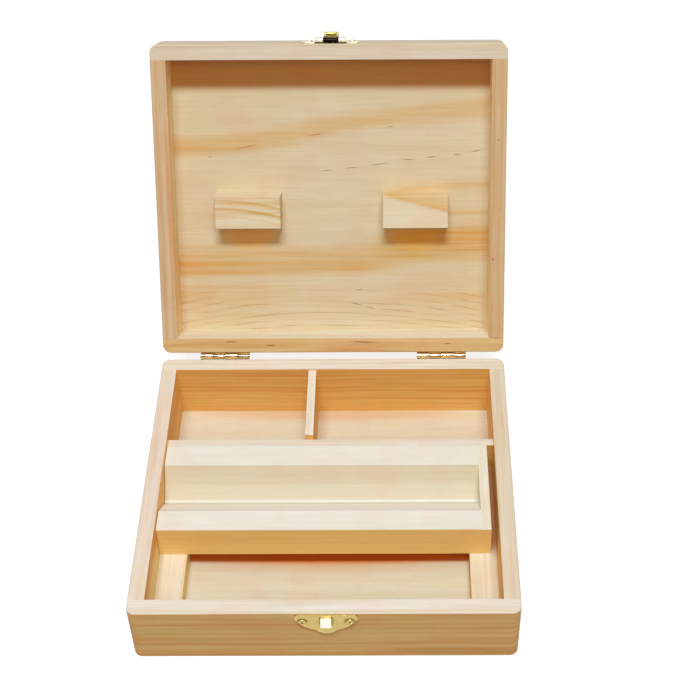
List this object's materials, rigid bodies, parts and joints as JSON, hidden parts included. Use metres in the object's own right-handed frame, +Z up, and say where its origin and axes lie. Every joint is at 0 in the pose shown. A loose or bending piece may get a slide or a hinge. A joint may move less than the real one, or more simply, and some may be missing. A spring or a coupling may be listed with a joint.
{
  "type": "wooden tool box with hinged lid",
  "caption": "Small pine tool box with a hinged lid standing open, a grooved tray sliding on side ledges, divided rear compartments, brass butt hinges and a brass hasp.",
  "frame": {"origin": "centre of the box's underside, on the surface that it stands on", "axes": "+X to the right as seen from the front, +Y to the hinged back, +Z up"},
  "size_m": [0.173, 0.2528, 0.1724],
  "materials": {
    "pine_board": "satin",
    "pine_panel": "satin",
    "yellow_brass": "polished"
  },
  "bodies": {
    "box": {"base_front_board": "pine_board", "base_rear_board": "pine_board", "base_left_board": "pine_board", "base_right_board": "pine_board", "bottom_panel": "pine_panel", "cross_partition": "pine_board", "rear_divider": "pine_board", "left_ledge": "pine_board", "right_ledge": "pine_board", "left_hinge_base_leaf": "yellow_brass", "right_hinge_base_leaf": "yellow_brass", "left_hinge_pin": "yellow_brass", "right_hinge_pin": "yellow_brass", "base_hinge_screws": "yellow_brass", "strike_plate": "yellow_brass", "strike_screws": "yellow_brass"},
    "lid": {"lid_front_board": "pine_board", "lid_rear_board": "pine_board", "lid_left_board": "pine_board", "lid_right_board": "pine_board", "lid_panel": "pine_panel", "lid_block_left": "pine_board", "lid_block_right": "pine_board", "left_hinge_lid_leaf": "yellow_brass", "right_hinge_lid_leaf": "yellow_brass", "lid_hinge_screws": "yellow_brass", "hasp_plate": "yellow_brass", "hasp_screws": "yellow_brass", "hasp_pin": "yellow_brass"},
    "tray": {"tray_block": "pine_board", "tray_end_board": "pine_board"},
    "hasp_arm": {"hasp_arm": "yellow_brass"}
  },
  "joints": [
    {"name": "lid_hinge", "type": "hinge", "parent": "box", "child": "lid", "pos_m": [0, 0.07925, 0.0332], "axis": [-1, 0, 0], "range_deg": [-118.7, 0]},
    {"name": "tray_slide", "type": "slide", "parent": "box", "child": "tray", "axis": [0, -1, 0], "range_m": [0, 0.04]},
    {"name": "hasp_hinge", "type": "hinge", "parent": "lid", "child": "hasp_arm", "pos_m": [0.001, 0.1572, 0.171], "axis": [-1, 0, 0], "range_deg": [-164, 0]}
  ]
}
